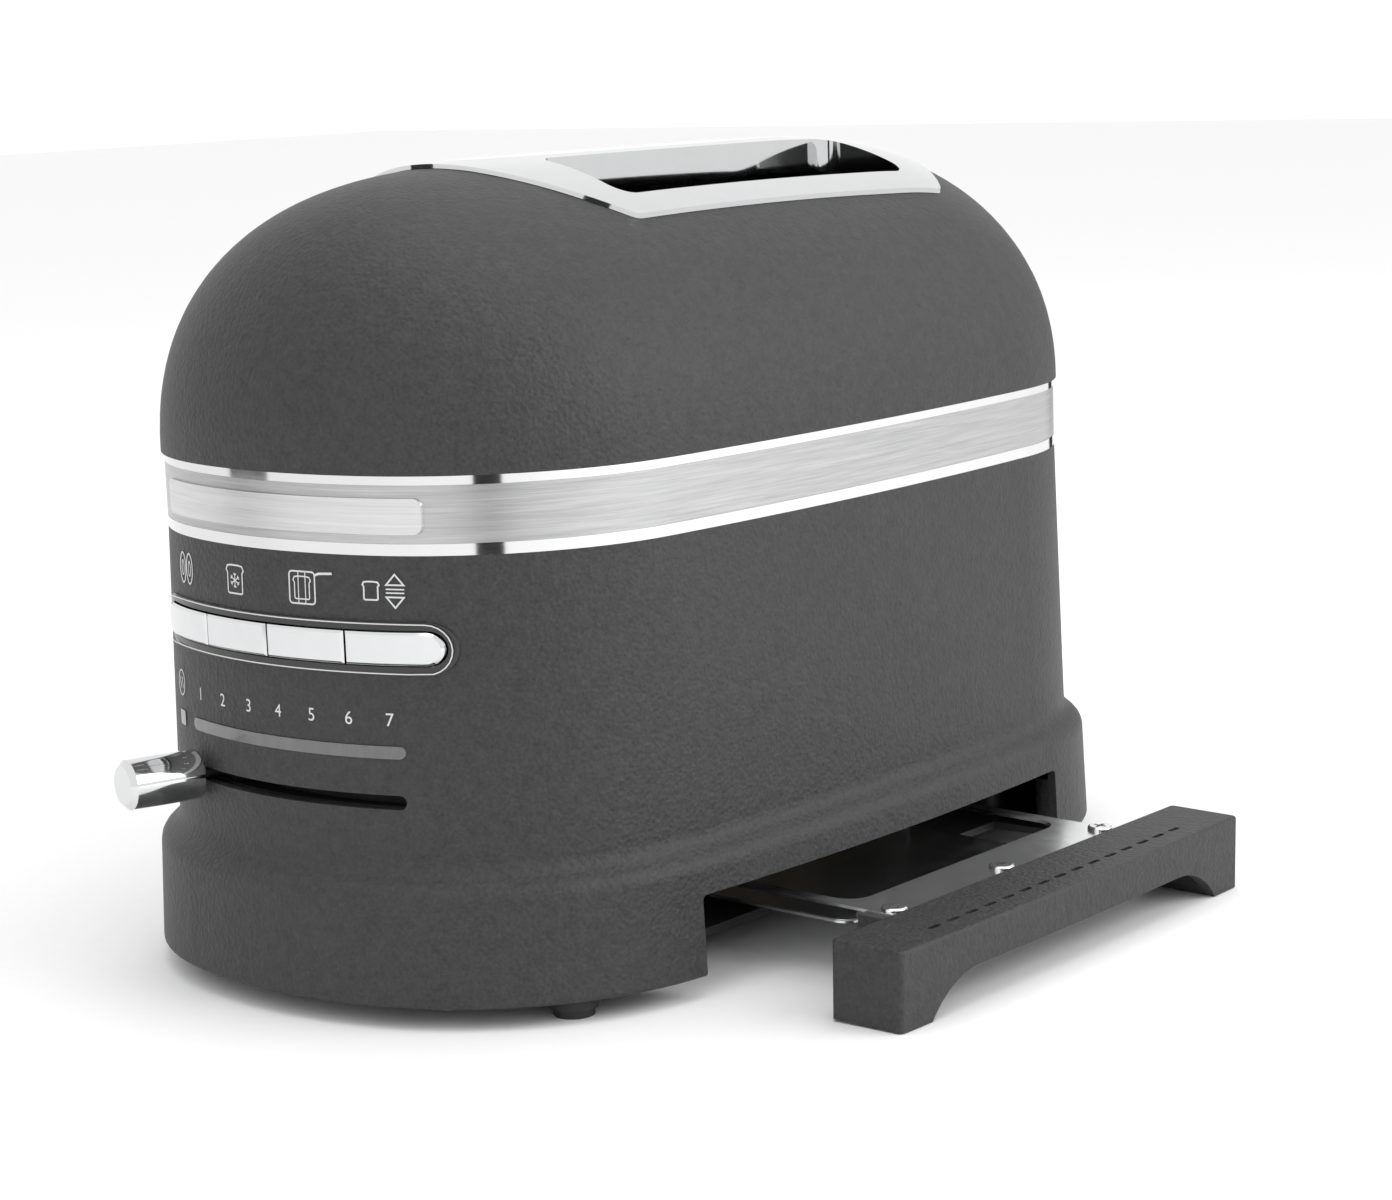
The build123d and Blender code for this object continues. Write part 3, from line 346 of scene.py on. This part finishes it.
END_RADIUS = 110.0
END_CENTRE_Y = -32.5
BAND_LOW = 117.0
WAIST = 39.0
TAPER = 1.7
INK = 0.05
LINE = 0.42
SURROUND_RADIUS = 110.95
MARK_Z = 108.4
NUMERALS = 7
NUMERAL_X = -31.2
NUMERAL_PITCH = 11.05
NUMERAL_Z = 76.7
NUMERAL_HEIGHT = 3.4


def on_round(x, z, radius):
    """Point on an upright round face about the front's centre, from millimetres, in metres."""
    return Vector((x, END_CENTRE_Y - sqrt(radius**2 - x**2), z)) * MM


def on_front(x, z):
    """Point of the ink's face on the tapering front wall."""
    return on_round(x, z, END_RADIUS + TAPER * (BAND_LOW - z) / (BAND_LOW - WAIST) + INK)


def on_surround(x, z):
    """Point of the ink's face on the button surround."""
    return on_round(x, z, SURROUND_RADIUS + INK)


def ribbon(mesh, points, closed=False, width=LINE, place=on_front):
    """Adds a flat line of a width through points, mitred at its corners."""
    count = len(points)
    edges = []
    for i, (x, z) in enumerate(points):
        before = points[i - 1] if closed or i > 0 else None
        after = points[(i + 1) % count] if closed or i < count - 1 else None
        directions = []
        if before:
            directions.append(Vector((x - before[0], z - before[1])).normalized())
        if after:
            directions.append(Vector((after[0] - x, after[1] - z)).normalized())
        along = sum(directions, Vector((0, 0))).normalized()
        across = Vector((-along.y, along.x))
        square = Vector((-directions[0].y, directions[0].x))
        reach = width / 2 / max(0.4, across.dot(square))
        low = mesh.verts.new(place(x - across.x * reach, z - across.y * reach))
        high = mesh.verts.new(place(x + across.x * reach, z + across.y * reach))
        edges.append((low, high))
    for i in range(count if closed else count - 1):
        a, b = edges[i], edges[(i + 1) % count]
        mesh.faces.new((a[0], b[0], b[1], a[1]))


def surround_line(mesh):
    """Thin lighter line round the rim of the button surround."""
    low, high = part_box("button_surround")
    middle = (low.z + high.z) / 2 / MM
    half_x = (high.x - low.x) / 2 / MM - 0.45
    half_z = (high.z - low.z) / 2 / MM - 0.45
    end = half_x - half_z
    points = []
    for side in (1, -1):
        points += [(side * (end - i * end / 10), middle + side * half_z) for i in range(20)]
        arc = [pi / 2 + pi * i / 12 for i in range(1, 12)]
        points += [(-side * end + side * half_z * cos(a), middle + side * half_z * sin(a)) for a in arc]
    ribbon(mesh, points, True, 0.3, on_surround)


def printed(name, draw):
    """A piece of print on the front wall; draw fills its mesh."""
    mesh = bmesh.new()
    draw(mesh)
    data = bpy.data.meshes.new(name)
    mesh.to_mesh(data)
    mesh.free()
    piece = bpy.data.objects.new(name, data)
    bpy.context.scene.collection.objects.link(piece)
    data.materials.append(ink)
    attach(piece, "case")
    return piece


def oval(x, z, half_x, half_z, steps=28, start=0.0, turn=2 * pi):
    angles = [start + turn * i / steps for i in range(steps)]
    return [(x + half_x * cos(a), z + half_z * sin(a)) for a in angles]


def rounded_box(x, z, half_x, half_z, radius, steps=5):
    points = []
    for corner, (sx, sz) in enumerate(((1, 1), (-1, 1), (-1, -1), (1, -1))):
        for i in range(steps):
            angle = pi / 2 * (corner + i / (steps - 1))
            cx = x + sx * (half_x - radius)
            cz = z + sz * (half_z - radius)
            points.append((cx + radius * cos(angle), cz + radius * sin(angle)))
    return points


def slice_outline(x, z, half):
    """Outline of a slice of bread: square below with two lobes at the top."""
    points = rounded_box(x, z - half * 0.12, half * 0.8, half * 0.86, half * 0.15)
    right_lobe = [(0.8, 0.42), (0.95, 0.62), (0.8, 0.9), (0.4, 0.96)]
    lobes = right_lobe + [(-a, b) for a, b in reversed(right_lobe)]
    below = [p for p in points if p[1] < z + half * 0.2]
    return [(x + a * half, z + b * half) for a, b in lobes] + below


def bagel_mark(mesh):
    for x in (-38.3, -34.5):
        ribbon(mesh, oval(x, 108.6, 1.65, 3.9), True)
        ribbon(mesh, oval(x, 108.6, 0.6, 1.9), True, 0.32)


def frozen_mark(mesh):
    x, z = -12.4, MARK_Z
    ribbon(mesh, slice_outline(x, z, 3.7), True)
    for turn in range(3):
        a = pi / 2 + turn * pi / 3
        dx, dz = 1.9 * cos(a), 1.9 * sin(a)
        ribbon(mesh, [(x - dx, z - dz - 0.3), (x + dx, z + dz - 0.3)], width=0.3)
        for end in (-1, 1):
            tip = (x + end * dx * 0.62, z + end * dz * 0.62 - 0.3)
            for side in (-1, 1):
                b = a + side * 0.75 + (0 if end > 0 else pi)
                ribbon(mesh, [tip, (tip[0] + 0.8 * cos(b), tip[1] + 0.8 * sin(b))], width=0.24)


def sandwich_mark(mesh):
    x, z = 11.6, 108.2
    ribbon(mesh, rounded_box(x, z, 4.0, 4.0, 0.9), True)
    ribbon(mesh, slice_outline(x, z, 2.9), True, 0.34)
    for offset in (-1.1, 1.1):
        ribbon(mesh, [(x + offset, z - 4.0), (x + offset, z + 4.0)], width=0.3)
    ribbon(mesh, [(x + 4.0, z + 3.2), (x + 5.2, z + 3.7), (x + 9.2, z + 3.9)], width=0.6)


def lift_mark(mesh):
    x, z = 31.4, MARK_Z
    ribbon(mesh, slice_outline(x, z, 2.3), True)
    x = 37.6
    for sign in (-1, 1):
        low, tip = z + sign * 1.5, z + sign * 4.1
        ribbon(mesh, [(x - 2.2, low), (x + 2.2, low), (x, tip)][::sign], True)
    for offset in (-0.45, 0.45):
        ribbon(mesh, [(x - 2.3, z + offset), (x + 2.3, z + offset)], width=0.36)


def warm_mark(mesh):
    x, z = -42.7, 77.8
    ribbon(mesh, oval(x, z, 1.9, 3.3), True, 0.34)
    for offset in (-0.6, 0.6):
        wave = [(x + offset + 0.25 * sin(i * 1.1), z - 1.5 + i * 0.5) for i in range(7)]
        ribbon(mesh, wave, width=0.28)


def digit(text, x, z, height):
    """One printed numeral, laid on the curved wall."""
    curve = bpy.data.curves.new("numeral_" + text, "FONT")
    curve.body = text
    curve.size = height * 1.38
    curve.align_x = "CENTER"
    curve.resolution_u = 6
    flat = bpy.data.objects.new("numeral_" + text, curve)
    bpy.context.scene.collection.objects.link(flat)
    bpy.context.view_layer.update()
    data = bpy.data.meshes.new_from_object(flat)
    bpy.data.objects.remove(flat)
    for vertex in data.vertices:
        vertex.co = on_front(x + vertex.co.x, z - height / 2 + vertex.co.y)
    piece = bpy.data.objects.new("numeral_" + text, data)
    bpy.context.scene.collection.objects.link(piece)
    data.materials.clear()
    data.materials.append(ink)
    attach(piece, "case")


def print_front():
    for name, draw in (
        ("bagel_mark", bagel_mark),
        ("frozen_mark", frozen_mark),
        ("sandwich_mark", sandwich_mark),
        ("lift_mark", lift_mark),
        ("keep_warm_mark", warm_mark),
        ("surround_line", surround_line),
    ):
        printed(name, draw)
    for index in range(NUMERALS):
        digit(str(index + 1), NUMERAL_X + NUMERAL_PITCH * index, NUMERAL_Z, NUMERAL_HEIGHT)


# ---------------------------------------------------------------- floor, light, camera


def sheet(name, corners, material, gloss_only=False):
    data = bpy.data.meshes.new(name)
    data.from_pydata(corners, [], [(0, 1, 2, 3)])
    data.materials.append(material)
    piece = bpy.data.objects.new(name, data)
    if gloss_only:
        piece.visible_camera = False
        piece.visible_diffuse = False
        piece.visible_shadow = False
    bpy.context.scene.collection.objects.link(piece)
    return piece


def soft_light(name, place, target, width, height, power):
    data = bpy.data.lights.new(name, "AREA")
    data.shape = "RECTANGLE"
    data.size = width
    data.size_y = height
    data.energy = power
    lamp = bpy.data.objects.new(name, data)
    lamp.location = place
    lamp.rotation_euler = (Vector(target) - Vector(place)).to_track_quat("-Z", "Y").to_euler()
    bpy.context.scene.collection.objects.link(lamp)


def black_card(name, middle, half, facing):
    """Dark card beside the set that gives the bright metal its dark reflections."""
    away = (Vector(middle) - Vector(facing)).normalized()
    across = Vector((-away.y, away.x, 0)).normalized()
    up = away.cross(across)
    signs = ((-1, -1), (1, -1), (1, 1), (-1, 1))
    corners = [Vector(middle) + across * half[0] * a + up * half[1] * b for a, b in signs]
    sheet(name, corners, card_finish, gloss_only=True)


def light_the_set():
    world = bpy.data.worlds.new("studio")
    world.use_nodes = True
    background = world.node_tree.nodes["Background"]
    background.inputs["Color"].default_value = (1, 1, 1, 1)
    background.inputs["Strength"].default_value = 1.05
    bpy.context.scene.world = world
    soft_light("right softbox", (1.5, 0.5, 0.9), (0, 0, 0.1), 1.4, 1.2, 14)
    soft_light("front softbox", (0.5, -1.6, 1.0), (0, -0.05, 0.1), 0.8, 1.0, 2)
    soft_light("top softbox", (0.1, 0.0, 1.6), (0, 0, 0.1), 1.2, 1.2, 6)


def place_camera():
    azimuth, elevation, roll = radians(39.312), radians(9.896), radians(-2.03)
    back = Vector((sin(azimuth) * cos(elevation), -cos(azimuth) * cos(elevation), sin(elevation)))
    level = Vector((cos(azimuth), sin(azimuth), 0))
    upright = back.cross(level)
    right = level * cos(roll) + upright * sin(roll)
    up = upright * cos(roll) - level * sin(roll)
    data = bpy.data.cameras.new("camera")
    data.lens = 83.71
    data.sensor_width = 36.0
    data.clip_start = 0.05
    data.clip_end = 50
    camera = bpy.data.objects.new("camera", data)
    turn = Matrix((right, up, back)).transposed().to_4x4()
    camera.matrix_world = Matrix.Translation(Vector((21.594, -1.642, 83.744)) * MM + back * 0.9008) @ turn
    bpy.context.scene.collection.objects.link(camera)
    bpy.context.scene.camera = camera


ink = printed_ink()
card_finish = moulding("black card", (0.01, 0.01, 0.01), (0.015, 0.015, 0.015), 0.8)
finish_cad_pieces()
print_front()
sheet("floor", [(-6, -6, 0), (6, -6, 0), (6, 6, 0), (-6, 6, 0)], floor_finish())
black_card("near card", (0.41, -0.5, 0.17), (0.06, 0.17), (0, 0, 0.17))
black_card("left card", (-0.8, -0.75, 0.3), (0.14, 0.3), (0, 0, 0.3))
black_card("rear card", (-0.12, 0.9, 0.2), (0.07, 0.2), (0, 0, 0.2))
light_the_set()
place_camera()
bpy.context.scene.view_settings.view_transform = "Standard"
